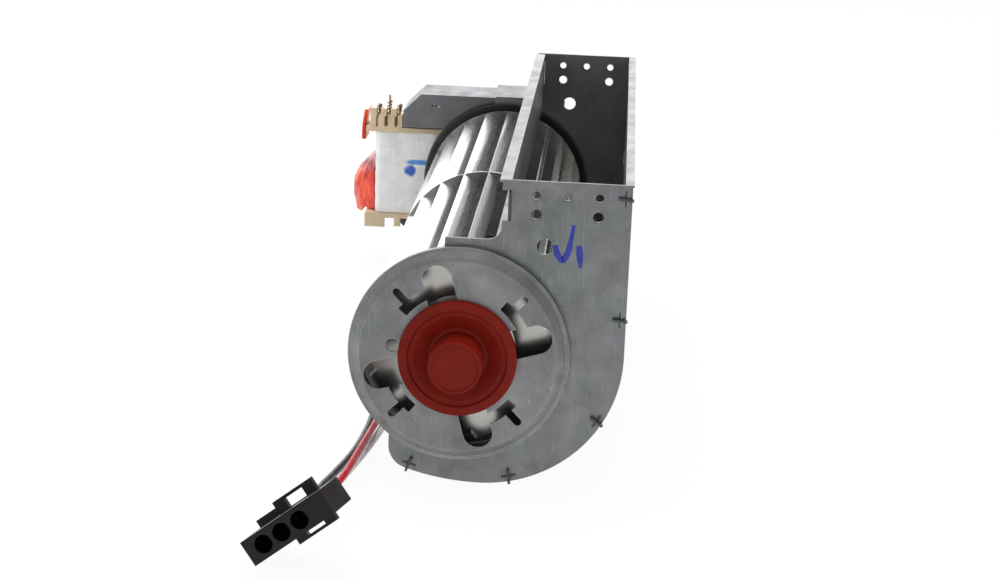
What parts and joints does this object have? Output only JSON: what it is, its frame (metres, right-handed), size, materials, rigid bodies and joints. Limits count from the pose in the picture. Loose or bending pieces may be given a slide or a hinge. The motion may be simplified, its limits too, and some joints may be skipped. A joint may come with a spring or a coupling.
{
  "type": "range blower",
  "caption": "Tangential blower for a range: crossflow impeller in a sheet-metal scroll with side plates, dished covers, a rubber bearing boot and a shaded-pole motor with a plug lead.",
  "frame": {"origin": "centre of the middle hole of the front side plate's upper screw row, on the plate's outer face", "axes": "+X towards the scroll side, +Y along the impeller axis towards the motor, +Z out of the outlet"},
  "size_m": [0.1225, 0.3845, 0.1016],
  "materials": {
    "galvanised_plate": "dull galvanised",
    "galvanised_sheet": "dull galvanised",
    "pressed_cover": "dull galvanised",
    "silicone": "satin",
    "sintered_bronze": "matt",
    "impeller_aluminium": "bright rolled",
    "blade_aluminium": "bright rolled",
    "turned_steel": "turned",
    "black_steel": "oxide",
    "rotor_iron": "machined",
    "lamination": "varnished",
    "copper": "copper",
    "plated_steel": "zinc plated",
    "bobbin_nylon": "moulded",
    "coil_tape": "woven tape",
    "terminal_brass": "plain",
    "insulation_film": "glossy film",
    "lead_black": "satin",
    "lead_red": "satin",
    "lead_white": "satin",
    "connector_nylon": "moulded"
  },
  "bodies": {
    "housing": {"front_side_plate": "galvanised_plate", "rear_side_plate": "galvanised_plate", "scroll_sheet": "galvanised_sheet", "cutoff_sheet": "galvanised_sheet", "front_cover": "pressed_cover", "motor_cover": "pressed_cover", "bearing_boot": "silicone", "front_bearing": "sintered_bronze", "front_motor_bearing": "sintered_bronze", "rear_motor_bearing": "sintered_bronze", "stator_stack": "lamination", "stator_leg": "lamination", "shading_rings": "copper", "coil_winding": "copper", "front_motor_bracket": "plated_steel", "rear_motor_bracket": "plated_steel", "bearing_clips": "plated_steel", "motor_spacers": "plated_steel", "motor_screws": "plated_steel", "motor_nuts": "plated_steel", "coil_bobbin": "bobbin_nylon", "coil_tape": "coil_tape", "coil_terminals": "terminal_brass", "insulation_film": "insulation_film", "lead_black": "lead_black", "lead_red": "lead_red", "lead_white": "lead_white", "connector_housing": "connector_nylon", "connector_contacts": "terminal_brass"},
    "rotor": {"impeller_front_disc": "impeller_aluminium", "impeller_middle_disc": "impeller_aluminium", "impeller_rear_disc": "impeller_aluminium", "front_stub_shaft": "turned_steel", "drive_hub": "turned_steel", "hub_set_screw": "black_steel", "motor_shaft": "turned_steel", "motor_rotor": "rotor_iron", "blade_01": "blade_aluminium", "blade_02": "blade_aluminium", "blade_03": "blade_aluminium", "blade_04": "blade_aluminium", "blade_05": "blade_aluminium", "blade_06": "blade_aluminium", "blade_07": "blade_aluminium", "blade_08": "blade_aluminium", "blade_09": "blade_aluminium", "blade_10": "blade_aluminium", "blade_11": "blade_aluminium", "blade_12": "blade_aluminium", "blade_13": "blade_aluminium", "blade_14": "blade_aluminium", "blade_15": "blade_aluminium", "blade_16": "blade_aluminium", "blade_17": "blade_aluminium", "blade_18": "blade_aluminium", "blade_19": "blade_aluminium", "blade_20": "blade_aluminium", "blade_21": "blade_aluminium", "blade_22": "blade_aluminium"}
  },
  "joints": [
    {"name": "rotor_spin", "type": "hinge", "parent": "housing", "child": "rotor", "pos_m": [-0.0327, 0, -0.0528], "axis": [0, -1, 0], "continuous": true}
  ]
}
